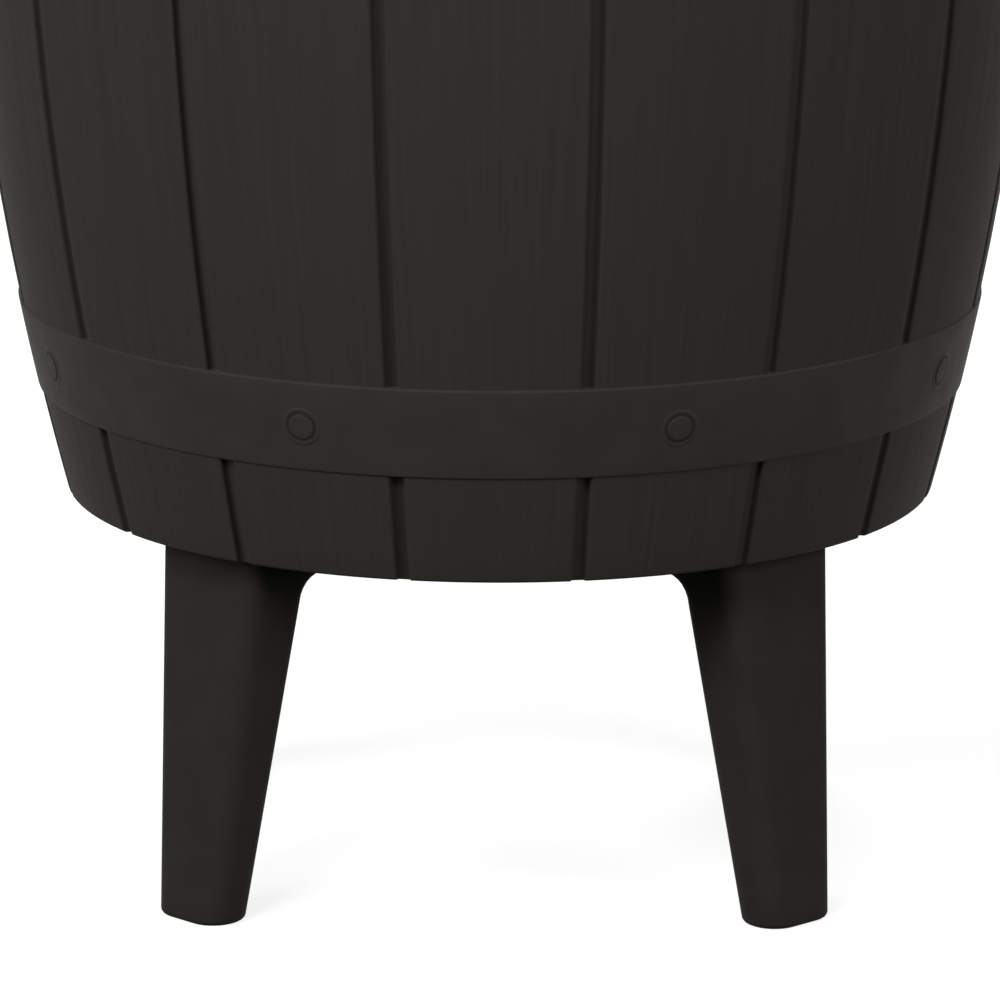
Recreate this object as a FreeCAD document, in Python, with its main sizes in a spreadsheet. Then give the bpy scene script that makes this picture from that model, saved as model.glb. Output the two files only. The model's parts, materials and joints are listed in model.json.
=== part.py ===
import FreeCAD, Part
import math
import os
import Sketcher

# Barrel-shaped cooler table: millimetres, +Z up, front towards -Y, origin on the floor at the barrel's axis.

DIMENSIONS = {
    # Barrel: sixteen moulded staves on one long bow, widest near the top
    "barrel_bottom": 156.6,
    "barrel_top": 527,
    "widest_radius": 226.5,
    "widest_height": 505,
    "bow_radius": 1350,
    "barrel_wall": 4.5,
    "barrel_floor": 4,
    "rim_round": 2,
    "stave_count": 16,
    "gap_width": 6,
    "gap_depth": 3,
    # Hoops and their rivet heads
    "low_hoop_bottom": 202.3,
    "high_hoop_bottom": 444.1,
    "hoop_width": 37.6,
    "hoop_proud": 0.85,
    "hoop_root": 3.6,
    "rivet_count": 8,
    "rivet_radius": 7,
    "rivet_flat": 4.2,
    "rivet_crown": 1,
    "rivet_root": 2,
    # Legs, set in from the rim on the diagonals
    "leg_azimuth": 45,
    "leg_top_middle": 148.4,
    "leg_top_depth": 32.8,
    "leg_top_width": 60.6,
    "leg_foot_middle": 168.8,
    "leg_foot_depth": 15.6,
    "leg_foot_width": 42.6,
    "leg_corner": 4.6,
    "leg_sole_bevel": 2.5,
    "shoulder_height": 13,
    "flare_round": 12,
    "tenon_depth": 28,
    "tenon_width": 44,
    "tenon_height": 38,
    "tenon_play": 0.3,
    "socket_wall": 4,
    "leg_wall": 3.5,
    "leg_sole": 14,
    "leg_screw_past": 3,
    # Column: fixed tube, sliding post and twist lock
    "seat_bore": 20,
    "seat_radius": 44,
    "seat_height": 10,
    "tube_radius": 27,
    "tube_wall": 2.5,
    "tube_top": 490,
    "foot_radius": 42,
    "foot_thick": 4,
    "foot_screw_count": 3,
    "foot_screw_circle": 35,
    "foot_screw_length": 12,
    "collar_radius": 31,
    "collar_top": 505,
    "collar_skirt": 12,
    "collar_play": 0.3,
    "notch_width": 9.2,
    "lock_turn": 60,
    "stop_height": 4,
    "stop_turn": 15,
    "stop_thick": 3,
    "seat_dip": 1.5,
    "post_radius": 21,
    "post_wall": 2,
    "post_bottom": 179,
    "post_top": 561,
    "bush_height": 18,
    "bush_play": 0.3,
    "bead_height": 3,
    "bead_proud": 1.5,
    "cap_head": 3.5,
    "cap_plug": 12,
    "lift_travel": 250,
    "lock_pin_radius": 4,
    "lock_pin_play": 0.5,
    "lock_pin_inset": 0.4,
    "seal_height": 4,
    # Liner
    "liner_floor": 216,
    "liner_wall": 3.5,
    "liner_low_radius": 173.5,
    "liner_high_radius": 205,
    "liner_corner": 16,
    "liner_flange": 3,
    "liner_flange_radius": 225.5,
    "hub_wall": 3.7,
    "hub_height": 24,
    "rim_screw_count": 4,
    "rim_screw_circle": 216.5,
    "rim_boss_flats": 12,
    "rim_boss_height": 44,
    "rim_screw_length": 18,
    # Table top and lid
    "table_radius": 247.5,
    "table_top": 570,
    "table_wall": 3.5,
    "table_round": 6,
    "table_skirt_bottom": 527,
    "table_rim_width": 14.5,
    "table_rim_rise": 3,
    "table_rim_slope": 4,
    "board_width": 76,
    "board_gap": 3,
    "board_gap_depth": 1.2,
    "lid_plate_bottom": 533.2,
    "lid_lip_bottom": 514,
    "lid_lip_radius": 201.5,
    "lid_rest": 530.3,
    "lid_rest_radius": 225.3,
    "lid_edge_play": 0.3,
    "lid_screw_count": 6,
    "lid_screw_circle": 238.4,
    "lid_boss_flats": 9,
    "lid_screw_length": 16,
    "lid_hole_depth": 20,
    "hub_flange_radius": 56,
    "hub_flange_thick": 6,
    "hub_collar_radius": 27,
    "hub_collar_bottom": 511,
    "hub_screw_count": 3,
    "hub_screw_circle": 44,
    "hub_boss_flats": 11,
    "hub_screw_length": 24,
    "post_pin_height": 517,
    "post_pin_radius": 2.5,
    # Drain
    "drain_back": 110,
    "drain_bore": 8,
    "drain_wall": 3,
    "drain_outlet": 152,
    "drain_flange_radius": 20,
    "drain_flange_thick": 3,
    "gasket_thick": 2,
    "gasket_inset": 1,
    "nut_flats": 32,
    "nut_height": 8,
    "drain_hole_radius": 14,
    "plug_play": 0.3,
    "plug_length": 16,
    "plug_taper": 1,
    "plug_head_radius": 13,
    "plug_head_thick": 4.7,
    "plug_tab_length": 15,
    "plug_tab_width": 16,
    "plug_tab_thick": 4,
    # Shared by several features: play, how far a cut runs past a face, and where a bevel in two steps turns
    "slip_play": 0.3,
    "press_play": 0.2,
    "overrun": 1,
    "bevel_turn": 0.3,
    # Hexagon-head screws; shanks and their holes are drawn six-sided, without threads
    "screw_flats": 4,
    "screw_head_flats": 8,
    "screw_head_height": 2.6,
    "screw_hole_flats": 4.2,
}


class Size:
    """A number together with the sheet expression that gives it, so that sums of sizes stay bound."""

    def __init__(self, text, value):
        self.text = text
        self.value = float(value)

    def join(self, sign, other, value):
        return Size(f"({self.text} {sign} {other.text})", value)

    def __add__(self, other):
        other = size_of(other)
        return self.join("+", other, self.value + other.value)

    def __sub__(self, other):
        other = size_of(other)
        return self.join("-", other, self.value - other.value)

    def __mul__(self, other):
        other = size_of(other)
        return self.join("*", other, self.value * other.value)

    def __truediv__(self, other):
        other = size_of(other)
        return self.join("/", other, self.value / other.value)

    def __rsub__(self, other):
        return size_of(other) - self

    def __rtruediv__(self, other):
        return size_of(other) / self

    def __neg__(self):
        return size_of(0) - self

    __radd__ = __add__
    __rmul__ = __mul__


def size_of(number):
    """Takes a plain number as a size."""
    return number if isinstance(number, Size) else Size(repr(float(number)), number)


def root(size):
    """Square root of a size."""
    return Size(f"sqrt({size.text})", math.sqrt(size.value))


doc = FreeCAD.newDocument("cooler_table")
sheet = doc.addObject("Spreadsheet::Sheet", "sizes")
sizes = {}
for row, (word, number) in enumerate(DIMENSIONS.items(), start=1):
    sheet.set(f"A{row}", word)
    sheet.set(f"B{row}", str(number))
    sheet.setAlias(f"B{row}", word)
    sizes[word] = Size(f"sizes.{word}", number)
doc.recompute()

parts = []
overrun = sizes["overrun"]
slip = sizes["slip_play"]


# Helpers that draw sketches and features

def new_part(name):
    """Starts a sub-part as a body that carries the node's name."""
    body = doc.addObject("PartDesign::Body", name)
    body.Label = name
    body.AllowCompound = True
    parts.append(body)
    return body


def origin_of(body, role):
    """The origin plane or axis of a body, found by its role."""
    return [item for item in body.Origin.OriginFeatures if item.Role == role][0]


def new_sketch(body, plane, name, lift=0, across=0, up=0, turn=0):
    """Sketch on an origin plane: lifted along its normal, moved in it, or turned about the part's Z."""
    sketch = body.newObject("Sketcher::SketchObject", name)
    sketch.AttachmentSupport = [(origin_of(body, plane), "")]
    sketch.MapMode = "FlatFace"
    turn = size_of(turn)
    turn_axis = FreeCAD.Vector(0, 0, 1) if plane == "XY_Plane" else FreeCAD.Vector(0, 1, 0)
    shift = [size_of(across), size_of(up), size_of(lift)]
    if plane == "YZ_Plane" and turn.value:
        radians = math.radians(turn.value)
        shift[0] = Size(f"({shift[2].text} * sin({turn.text}))", shift[2].value * math.sin(radians))
        shift[2] = Size(f"({shift[2].text} * cos({turn.text}))", shift[2].value * math.cos(radians))
    rotation = FreeCAD.Rotation(turn_axis, turn.value)
    sketch.AttachmentOffset = FreeCAD.Placement(FreeCAD.Vector(*[item.value for item in shift]), rotation)
    for letter, item in zip("xyz", shift):
        sketch.setExpression(f"AttachmentOffset.Base.{letter}", item.text)
    if turn.value:
        sketch.setExpression("AttachmentOffset.Rotation.Angle", turn.text)
    return sketch


def pin_point(sketch, geometry, end, x, y):
    """Binds one end of a line or arc, or a circle's centre, to sheet expressions."""
    for kind, size in (("DistanceX", size_of(x)), ("DistanceY", size_of(y))):
        row = sketch.addConstraint(Sketcher.Constraint(kind, -1, 1, geometry, end, size.value))
        sketch.setExpression(f"Constraints[{row}]", size.text)


def bind_radius(sketch, geometry, radius):
    row = sketch.addConstraint(Sketcher.Constraint("Radius", geometry, radius.value))
    sketch.setExpression(f"Constraints[{row}]", radius.text)


def draw_outline(sketch, corners):
    """Closed outline. A corner is (x, y), or (x, y, radius) where an arc leads on to the next corner.

    The arc's centre is on the left of the way for a positive radius and on the right for a negative one.
    """
    count = len(corners)
    flat = [FreeCAD.Vector(size_of(corner[0]).value, size_of(corner[1]).value, 0) for corner in corners]
    starts = []
    ends = []
    for index, corner in enumerate(corners):
        here = flat[index]
        there = flat[(index + 1) % count]
        if len(corner) == 2:
            line = sketch.addGeometry(Part.LineSegment(here, there), False)
            starts.append((line, 1))
            ends.append((line, 2))
            continue
        side = 1 if size_of(corner[2]).value > 0 else -1
        radius = size_of(corner[2]) * side
        chord = there - here
        reach = math.sqrt(radius.value ** 2 - chord.Length ** 2 / 4)
        left = FreeCAD.Vector(-chord.y, chord.x, 0).normalize()
        centre = (here + there) * 0.5 + left * (side * reach)
        first, last = (here, there) if side > 0 else (there, here)
        angles = [math.atan2(point.y - centre.y, point.x - centre.x) for point in (first, last)]
        circle = Part.Circle(centre, FreeCAD.Vector(0, 0, 1), radius.value)
        arc = sketch.addGeometry(Part.ArcOfCircle(circle, *angles), False)
        bind_radius(sketch, arc, radius)
        starts.append((arc, 1 if side > 0 else 2))
        ends.append((arc, 2 if side > 0 else 1))
    for index in range(count):
        sketch.addConstraint(Sketcher.Constraint("Coincident", *ends[index - 1], *starts[index]))
        pin_point(sketch, *starts[index], corners[index][0], corners[index][1])


def draw_box(sketch, x, y, length, width):
    """Rectangle about (x, y)."""
    left, right = x - length / 2, x + length / 2
    low, high = y - width / 2, y + width / 2
    draw_outline(sketch, [(left, low), (right, low), (right, high), (left, high)])


def draw_hexagon(sketch, x, y, flats):
    """Regular hexagon about (x, y) with two flats square to x, given by its width across flats."""
    half = flats / 2
    point = flats / math.sqrt(3)
    draw_outline(sketch, [
        (x + half, y - point / 2), (x + half, y + point / 2), (x, y + point),
        (x - half, y + point / 2), (x - half, y - point / 2), (x, y - point),
    ])


def draw_circle(sketch, x, y, radius):
    centre = FreeCAD.Vector(size_of(x).value, size_of(y).value, 0)
    shape = Part.Circle(centre, FreeCAD.Vector(0, 0, 1), radius.value)
    circle = sketch.addGeometry(shape, False)
    bind_radius(sketch, circle, radius)
    pin_point(sketch, circle, 3, x, y)


def turned(body, sketch, cut=False, axis="V_Axis", angle=360, both_ways=False):
    """Revolution of a sketch, or the cut that it makes."""
    kind = "PartDesign::Groove" if cut else "PartDesign::Revolution"
    feature = body.newObject(kind, sketch.Name + "_turned")
    feature.Profile = sketch
    feature.ReferenceAxis = (sketch, [axis])
    feature.Angle = angle
    feature.Midplane = both_ways
    return feature


def padded(body, sketch, length, downwards=False, both_ways=False):
    feature = body.newObject("PartDesign::Pad", sketch.Name + "_pad")
    feature.Profile = sketch
    feature.setExpression("Length", size_of(length).text)
    feature.Reversed = downwards
    feature.Midplane = both_ways
    return feature


def pocketed(body, sketch, depth, upwards=False, both_ways=False):
    """Cut from the sketch down into the part, or up where the part lies above the sketch."""
    feature = body.newObject("PartDesign::Pocket", sketch.Name + "_pocket")
    feature.Profile = sketch
    feature.setExpression("Length", size_of(depth).text)
    feature.Reversed = upwards
    feature.Midplane = both_ways
    return feature


def dressed(body, kind, edges, word, size):
    """Fillet or chamfer of the part's edges that a test picks out."""
    doc.recompute()
    base = body.Tip
    feature = body.newObject(kind, base.Name + "_edges")
    chosen = [f"Edge{number}" for number, edge in enumerate(base.Shape.Edges, start=1) if edges(edge)]
    feature.Base = (base, chosen)
    feature.setExpression(word, size.text)
    return feature


def repeated(body, features, count):
    """Repeats features round the part's Z axis."""
    pattern = body.newObject("PartDesign::PolarPattern", features[0].Name + "_ring")
    pattern.Originals = features
    pattern.Axis = (origin_of(body, "Z_Axis"), [""])
    pattern.Angle = 360
    pattern.setExpression("Occurrences", size_of(count).text)
    body.Tip = pattern
    return pattern


def turned_part(name, corners):
    """Sub-part that is one revolution about the barrel's axis."""
    body = new_part(name)
    sketch = new_sketch(body, "XZ_Plane", name + "_section")
    draw_outline(sketch, corners)
    turned(body, sketch)
    return body


def ring_of_holes(body, name, circle, low, depth, count):
    """Screw holes parallel to Z, evenly spaced on a circle, from a level upwards."""
    sketch = new_sketch(body, "XY_Plane", name, lift=low)
    draw_hexagon(sketch, circle, 0, sizes["screw_hole_flats"])
    return repeated(body, [pocketed(body, sketch, depth, upwards=True)], count)


def ring_of_bosses(body, name, circle, flats, low, height, count):
    """Six-sided bosses parallel to Z, evenly spaced on a circle, from a level upwards."""
    sketch = new_sketch(body, "XY_Plane", name, lift=low)
    draw_hexagon(sketch, circle, 0, flats)
    return repeated(body, [padded(body, sketch, height)], count)


def screw_ring(name, circle, under_head, length, count, tip_up=False):
    """Ring of equal screws parallel to Z, each a hexagon head with its shank."""
    body = new_part(name)
    solids = []
    for piece, flats, reach, downwards in (
        ("head", sizes["screw_head_flats"], sizes["screw_head_height"], tip_up),
        ("shank", sizes["screw_flats"], length, not tip_up),
    ):
        sketch = new_sketch(body, "XY_Plane", f"{name}_{piece}", lift=under_head)
        draw_hexagon(sketch, circle, 0, flats)
        solids.append(padded(body, sketch, reach, downwards=downwards))
    repeated(body, solids, count)
    return body


# Levels and radii that several pieces share

barrel_bottom = sizes["barrel_bottom"]
barrel_top = sizes["barrel_top"]
floor_top = barrel_bottom + sizes["barrel_floor"]
tube_inner = sizes["tube_radius"] - sizes["tube_wall"]
tube_bottom = floor_top + sizes["seat_height"]
liner_rim = barrel_top + sizes["liner_flange"]
shoulder_bottom = barrel_bottom - sizes["shoulder_height"]
flare_bottom = shoulder_bottom - sizes["flare_round"]
socket_top = barrel_bottom + sizes["tenon_height"]
leg_screw_height = barrel_bottom + sizes["tenon_height"] / 2
socket_in = sizes["leg_top_middle"] - sizes["tenon_depth"] / 2 - sizes["tenon_play"]
leg_screw_seat = socket_in - sizes["socket_wall"]
stave_pitch = 360 / sizes["stave_count"]


def stave_radius(height, depth=0):
    """Barrel radius at a height, some depth inside the staves' outer face."""
    drop = sizes["widest_height"] - height
    reach = sizes["bow_radius"] - depth
    return sizes["widest_radius"] - sizes["bow_radius"] + root(reach * reach - drop * drop)


# Outer barrel: a moulded shell with stave gaps, hoops, rivet heads, leg sockets and the column's seat

def make_outer_barrel():
    body = new_part("outer_barrel")
    rim = sizes["rim_round"]
    rim_top = barrel_bottom + rim
    shell = new_sketch(body, "XZ_Plane", "shell_section")
    draw_outline(shell, [
        (0, barrel_bottom),
        (stave_radius(rim_top) - rim, barrel_bottom),
        (stave_radius(rim_top), rim_top, sizes["bow_radius"]),
        (stave_radius(barrel_top), barrel_top),
        (0, barrel_top),
    ])
    turned(body, shell)
    hollow_barrel(body)
    cut_stave_gaps(body)
    add_leg_sockets(body)
    seat = new_sketch(body, "XY_Plane", "column_seat", lift=floor_top)
    draw_circle(seat, 0, 0, sizes["seat_radius"])
    draw_circle(seat, 0, 0, sizes["seat_bore"])
    padded(body, seat, sizes["seat_height"])
    ring_of_holes(body, "seat_holes", sizes["foot_screw_circle"],
                  floor_top, sizes["seat_height"] + overrun, sizes["foot_screw_count"])
    boss = sizes["rim_boss_height"]
    ring_of_bosses(body, "rim_bosses", sizes["rim_screw_circle"], sizes["rim_boss_flats"],
                   barrel_top - boss, boss, sizes["rim_screw_count"])
    ring_of_holes(body, "rim_boss_holes", sizes["rim_screw_circle"],
                  barrel_top - boss / 2, boss, sizes["rim_screw_count"])
    drain = new_sketch(body, "XY_Plane", "drain_hole", lift=barrel_bottom - overrun)
    draw_circle(drain, 0, sizes["drain_back"], sizes["drain_hole_radius"])
    pocketed(body, drain, sizes["barrel_floor"] + overrun * 2, upwards=True)
    for name, low in (("low_hoop", sizes["low_hoop_bottom"]), ("high_hoop", sizes["high_hoop_bottom"])):
        add_hoop(body, name, low)
        add_rivets(body, name, low + sizes["hoop_width"] / 2)
    return body


def hollow_barrel(body):
    """Room inside the shell: many flat sides, one behind the middle of each stave and one behind each gap."""
    sections = []
    for name, height in (("low", floor_top), ("middle", (floor_top + barrel_top) / 2), ("high", barrel_top)):
        section = new_sketch(body, "XY_Plane", "hollow_" + name, lift=height)
        reach = stave_radius(height, sizes["barrel_wall"])
        sides = int(sizes["stave_count"].value) * 2
        turns = [math.radians(360 / sides * (side + 0.5)) for side in range(sides)]
        draw_outline(section, [(reach * math.cos(turn), reach * math.sin(turn)) for turn in turns])
        sections.append(section)
    hollow = body.newObject("PartDesign::SubtractiveLoft", "hollow")
    hollow.Profile = sections[0]
    hollow.Sections = sections[1:]
    hollow.Ruled = True
    return hollow


def cut_stave_gaps(body):
    """U-shaped gaps of even depth: one section swung about the centre of the bow, then repeated."""
    floor = sizes["widest_radius"] - sizes["gap_depth"]
    mouth = sizes["widest_radius"] + sizes["hoop_proud"] + overrun
    sketch = new_sketch(body, "XY_Plane", "stave_gap", lift=sizes["widest_height"], turn=stave_pitch / 2)
    draw_box(sketch, (floor + mouth) / 2, 0, mouth - floor, sizes["gap_width"])
    centre = sizes["widest_radius"] - sizes["bow_radius"]
    half = sizes["gap_width"] / 2
    ends = [FreeCAD.Vector(centre.value, end, 0) for end in (-half.value, half.value)]
    axis = sketch.addGeometry(Part.LineSegment(*ends), True)
    pin_point(sketch, axis, 1, centre, -half)
    pin_point(sketch, axis, 2, centre, half)
    drop = sizes["widest_height"] - barrel_bottom + sizes["gap_width"]
    swing = 2 * math.degrees(math.asin(drop.value / sizes["bow_radius"].value))
    gap = turned(body, sketch, cut=True, axis="Axis0", angle=swing, both_ways=True)
    repeated(body, [gap], sizes["stave_count"])


def add_hoop(body, name, low):
    """Flat hoop that fills the stave gaps and stands a little proud."""
    high = low + sizes["hoop_width"]
    sketch = new_sketch(body, "XZ_Plane", name)
    draw_outline(sketch, [
        (stave_radius(low, sizes["hoop_root"]), low),
        (stave_radius(low, -sizes["hoop_proud"]), low),
        (stave_radius(high, -sizes["hoop_proud"]), high),
        (stave_radius(high, sizes["hoop_root"]), high),
    ])
    turned(body, sketch)


def add_rivets(body, name, height):
    """Low rivet heads, square to the bow on every second stave."""
    tilt = math.degrees(math.asin((sizes["widest_height"] - height).value / sizes["bow_radius"].value))
    centre = FreeCAD.Vector((sizes["widest_radius"] - sizes["bow_radius"]).value, sizes["widest_height"].value, 0)
    turn = FreeCAD.Rotation(FreeCAD.Vector(0, 1, 0), stave_pitch.value)
    lean = FreeCAD.Rotation(FreeCAD.Vector(0, 0, 1), -tilt)
    face = sizes["bow_radius"] + sizes["hoop_proud"]
    edge = sizes["rivet_radius"]
    sketch = new_sketch(body, "XZ_Plane", name + "_rivet")
    for letter in "xyz":
        sketch.setExpression(f"AttachmentOffset.Base.{letter}", None)
    sketch.AttachmentOffset = FreeCAD.Placement(FreeCAD.Vector(), turn) * FreeCAD.Placement(centre, lean)
    top = face + sizes["rivet_crown"]
    root_face = face - sizes["rivet_root"]
    draw_outline(sketch, [(root_face, 0), (top, 0), (top, sizes["rivet_flat"]), (face, edge), (root_face, edge)])
    repeated(body, [turned(body, sketch, axis="H_Axis")], sizes["rivet_count"])


def add_leg_sockets(body):
    """Rectangular sleeves on the barrel floor that take the legs' tenons, each with a radial screw hole."""
    length = sizes["tenon_depth"] + sizes["tenon_play"] * 2
    width = sizes["tenon_width"] + sizes["tenon_play"] * 2
    middle = sizes["leg_top_middle"]
    wall = sizes["socket_wall"]
    sleeve = new_sketch(body, "XY_Plane", "socket_sleeve", lift=floor_top, turn=sizes["leg_azimuth"])
    draw_box(sleeve, middle, 0, length + wall * 2, width + wall * 2)
    outside = padded(body, sleeve, socket_top - floor_top)
    repeated(body, [outside], 4)
    bore = new_sketch(body, "XY_Plane", "socket_bore", lift=barrel_bottom - overrun, turn=sizes["leg_azimuth"])
    draw_box(bore, middle, 0, length, width)
    inside = pocketed(body, bore, sizes["tenon_height"] + overrun * 2, upwards=True)
    repeated(body, [inside], 4)
    drilled = radial_hexagon(body, "socket_screw_hole", sizes["screw_hole_flats"],
                             leg_screw_seat - overrun, sizes["socket_wall"] + overrun * 2, cut=True)
    repeated(body, [drilled], 4)


def radial_hexagon(body, name, flats, start, length, cut=False, turn=None):
    """Six-sided bar or hole along a leg's radius at the leg screws' height, from a radius outwards."""
    turn = sizes["leg_azimuth"] if turn is None else turn
    sketch = new_sketch(body, "YZ_Plane", name, up=leg_screw_height, lift=start, turn=turn)
    draw_hexagon(sketch, 0, 0, flats)
    return pocketed(body, sketch, length, upwards=True) if cut else padded(body, sketch, length)


# Legs: tapered, hollow from the top, with a shoulder that flares towards the axis and a tenon

def make_leg(name, azimuth):
    """Side view padded across, narrowed to the front view, then bevelled; the hollow follows the side view."""
    body = new_part(name)
    wall = sizes["leg_wall"]
    half_foot, half_top = sizes["leg_foot_width"] / 2, sizes["leg_top_width"] / 2
    foot_in = sizes["leg_foot_middle"] - sizes["leg_foot_depth"] / 2
    foot_out = foot_in + sizes["leg_foot_depth"]
    top_in = sizes["leg_top_middle"] - sizes["leg_top_depth"] / 2
    top_out = top_in + sizes["leg_top_depth"]
    flare = sizes["flare_round"]
    flare_in = foot_in + (top_in - foot_in) * flare_bottom / barrel_bottom
    shoulder_in = flare_in - flare
    turn = sizes["bevel_turn"]
    side_view = new_sketch(body, "XZ_Plane", name + "_side_view")
    draw_outline(side_view, [
        (foot_in, 0), (foot_out, 0), (top_out, barrel_bottom),
        (shoulder_in, barrel_bottom), (shoulder_in, shoulder_bottom),
        (flare_in - flare * turn, shoulder_bottom - flare * turn), (flare_in, flare_bottom),
    ])
    padded(body, side_view, (half_top + overrun) * 2, both_ways=True)
    front_view = new_sketch(body, "YZ_Plane", name + "_front_view")
    for hand in (1, -1):
        draw_outline(front_view, [
            (half_foot * hand, 0), (half_top * hand, barrel_bottom),
            ((half_top + overrun * 2) * hand, barrel_bottom), ((half_top + overrun * 2) * hand, 0),
        ])
    pocketed(body, front_view, foot_out + overrun, upwards=True)
    upright = sizes["leg_sole_bevel"].value
    dressed(body, "PartDesign::Chamfer", lambda edge: edge.BoundBox.ZLength > upright, "Size", sizes["leg_corner"])
    dressed(body, "PartDesign::Chamfer", lambda edge: edge.BoundBox.ZMax < 0.01, "Size", sizes["leg_sole_bevel"])

    tenon = new_sketch(body, "XY_Plane", name + "_tenon", lift=barrel_bottom)
    draw_box(tenon, sizes["leg_top_middle"], 0, sizes["tenon_depth"], sizes["tenon_width"])
    padded(body, tenon, sizes["tenon_height"])
    tenon_in = sizes["leg_top_middle"] - sizes["tenon_depth"] / 2
    tenon_out = tenon_in + sizes["tenon_depth"]
    sole_out = foot_out - (foot_out - top_out) * sizes["leg_sole"] / barrel_bottom
    hollow = new_sketch(body, "XZ_Plane", name + "_hollow")
    draw_outline(hollow, [
        (tenon_in + wall, socket_top), (tenon_in + wall, barrel_bottom), (foot_in + wall, sizes["leg_sole"]),
        (sole_out - wall, sizes["leg_sole"]), (tenon_out - wall, barrel_bottom), (tenon_out - wall, socket_top),
    ])
    pocketed(body, hollow, (half_foot - wall) * 2, both_ways=True)
    radial_hexagon(body, name + "_screw_hole", sizes["screw_hole_flats"],
                   leg_screw_seat + sizes["socket_wall"], wall + overrun * 2, cut=True, turn=size_of(0))
    body.Placement = FreeCAD.Placement(FreeCAD.Vector(), FreeCAD.Rotation(FreeCAD.Vector(0, 0, 1), azimuth.value))
    body.setExpression("Placement.Rotation.Angle", azimuth.text)
    return body


def make_leg_screws():
    """One screw a leg, driven outwards from inside the barrel through the socket into the tenon."""
    body = new_part("leg_screws")
    height = sizes["screw_head_height"]
    length = sizes["socket_wall"] + sizes["leg_wall"] + sizes["leg_screw_past"]
    head = radial_hexagon(body, "leg_screw_head", sizes["screw_head_flats"], leg_screw_seat - height, height)
    shank = radial_hexagon(body, "leg_screw_shank", sizes["screw_flats"], leg_screw_seat, length)
    repeated(body, [head, shank], 4)
    return body


# Liner: drafted bucket with a rim flange and a hub round the column

def make_inner_bucket():
    wall = sizes["liner_wall"]
    floor = sizes["liner_floor"]
    bend = sizes["liner_corner"]
    low, high = sizes["liner_low_radius"], sizes["liner_high_radius"]
    slope = (high - low) / (liner_rim - floor)
    bore = sizes["tube_radius"] + slip
    hub = bore + sizes["hub_wall"]
    body = turned_part("inner_bucket", [
        (bore, floor - wall),
        (low + wall - bend, floor - wall),
        (low + wall + slope * bend, floor + bend),
        (high + wall - slope * sizes["liner_flange"], barrel_top),
        (sizes["liner_flange_radius"], barrel_top),
        (sizes["liner_flange_radius"], liner_rim),
        (high, liner_rim),
        (low + slope * bend, floor + bend),
        (low - bend, floor),
        (hub, floor),
        (hub, floor + sizes["hub_height"]),
        (bore, floor + sizes["hub_height"]),
    ])
    ring_of_holes(body, "rim_holes", sizes["rim_screw_circle"],
                  barrel_top - overrun, sizes["liner_flange"] + overrun * 2, sizes["rim_screw_count"])
    drain = new_sketch(body, "XY_Plane", "liner_drain_hole", lift=floor - wall - overrun)
    draw_circle(drain, 0, sizes["drain_back"], sizes["drain_bore"] + sizes["drain_wall"] + sizes["press_play"])
    pocketed(body, drain, wall + overrun * 2, upwards=True)
    return body


# Column: tube, collar with the twist lock, seal, post and its ends

def make_guide_tube():
    foot = sizes["foot_radius"]
    body = turned_part("guide_tube", [
        (tube_inner, tube_bottom),
        (foot, tube_bottom),
        (foot, tube_bottom + sizes["foot_thick"]),
        (sizes["tube_radius"], tube_bottom + sizes["foot_thick"]),
        (sizes["tube_radius"], sizes["tube_top"]),
        (tube_inner, sizes["tube_top"]),
    ])
    ring_of_holes(body, "foot_holes", sizes["foot_screw_circle"],
                  tube_bottom - overrun, sizes["foot_thick"] + overrun * 2, sizes["foot_screw_count"])
    return body


def make_guide_collar():
    """Cap on the tube: a bore that guides the post, two notches for the pin, and a dip and a stop past each."""
    top, seat = sizes["collar_top"], sizes["tube_top"]
    outer = sizes["collar_radius"]
    bore = sizes["post_radius"] + sizes["collar_play"]
    body = turned_part("guide_collar", [
        (bore, seat), (sizes["tube_radius"], seat),
        (sizes["tube_radius"], seat - sizes["collar_skirt"]), (outer, seat - sizes["collar_skirt"]),
        (outer, top), (bore, top),
    ])
    notch = new_sketch(body, "XY_Plane", "collar_notch", lift=top + overrun)
    reach = tube_inner + sizes["press_play"]
    draw_box(notch, reach / 2, 0, reach, sizes["notch_width"])
    way = pocketed(body, notch, top - seat + overrun * 2)
    repeated(body, [way], 2)
    dip = new_sketch(body, "XZ_Plane", "collar_dip", turn=sizes["lock_turn"],
                     up=top + sizes["lock_pin_radius"] - sizes["seat_dip"] + sizes["lock_pin_play"])
    dip_radius = sizes["lock_pin_radius"] + sizes["press_play"]
    inside, outside = bore - overrun * 2, outer + overrun
    draw_outline(dip, [(inside, 0), (outside, 0), (outside, dip_radius), (inside, dip_radius)])
    rest = turned(body, dip, cut=True, axis="H_Axis")
    repeated(body, [rest], 2)
    stop_turn = sizes["lock_turn"] + sizes["stop_turn"]
    stop = new_sketch(body, "XY_Plane", "collar_stop", lift=top - overrun, turn=stop_turn)
    draw_box(stop, (bore + outer) / 2, 0, outer - bore - overrun * 2, sizes["stop_thick"])
    rib = padded(body, stop, sizes["stop_height"] + overrun)
    repeated(body, [rib], 2)
    return body


def make_column_seal():
    hub = sizes["tube_radius"] + slip + sizes["hub_wall"]
    hub_top = sizes["liner_floor"] + sizes["hub_height"]
    return turned_part("column_seal", [
        (sizes["tube_radius"], hub_top), (hub, hub_top),
        (hub, hub_top + sizes["seal_height"]), (sizes["tube_radius"], hub_top + sizes["seal_height"]),
    ])


bush_bottom = sizes["post_bottom"] + sizes["bush_play"]
bead_bottom = bush_bottom + sizes["bush_height"] + sizes["bush_play"]
lock_pin_height = sizes["collar_top"] + sizes["lock_pin_radius"] + sizes["lock_pin_play"] - sizes["lift_travel"]
pin_reach = tube_inner - sizes["lock_pin_inset"]


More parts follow.
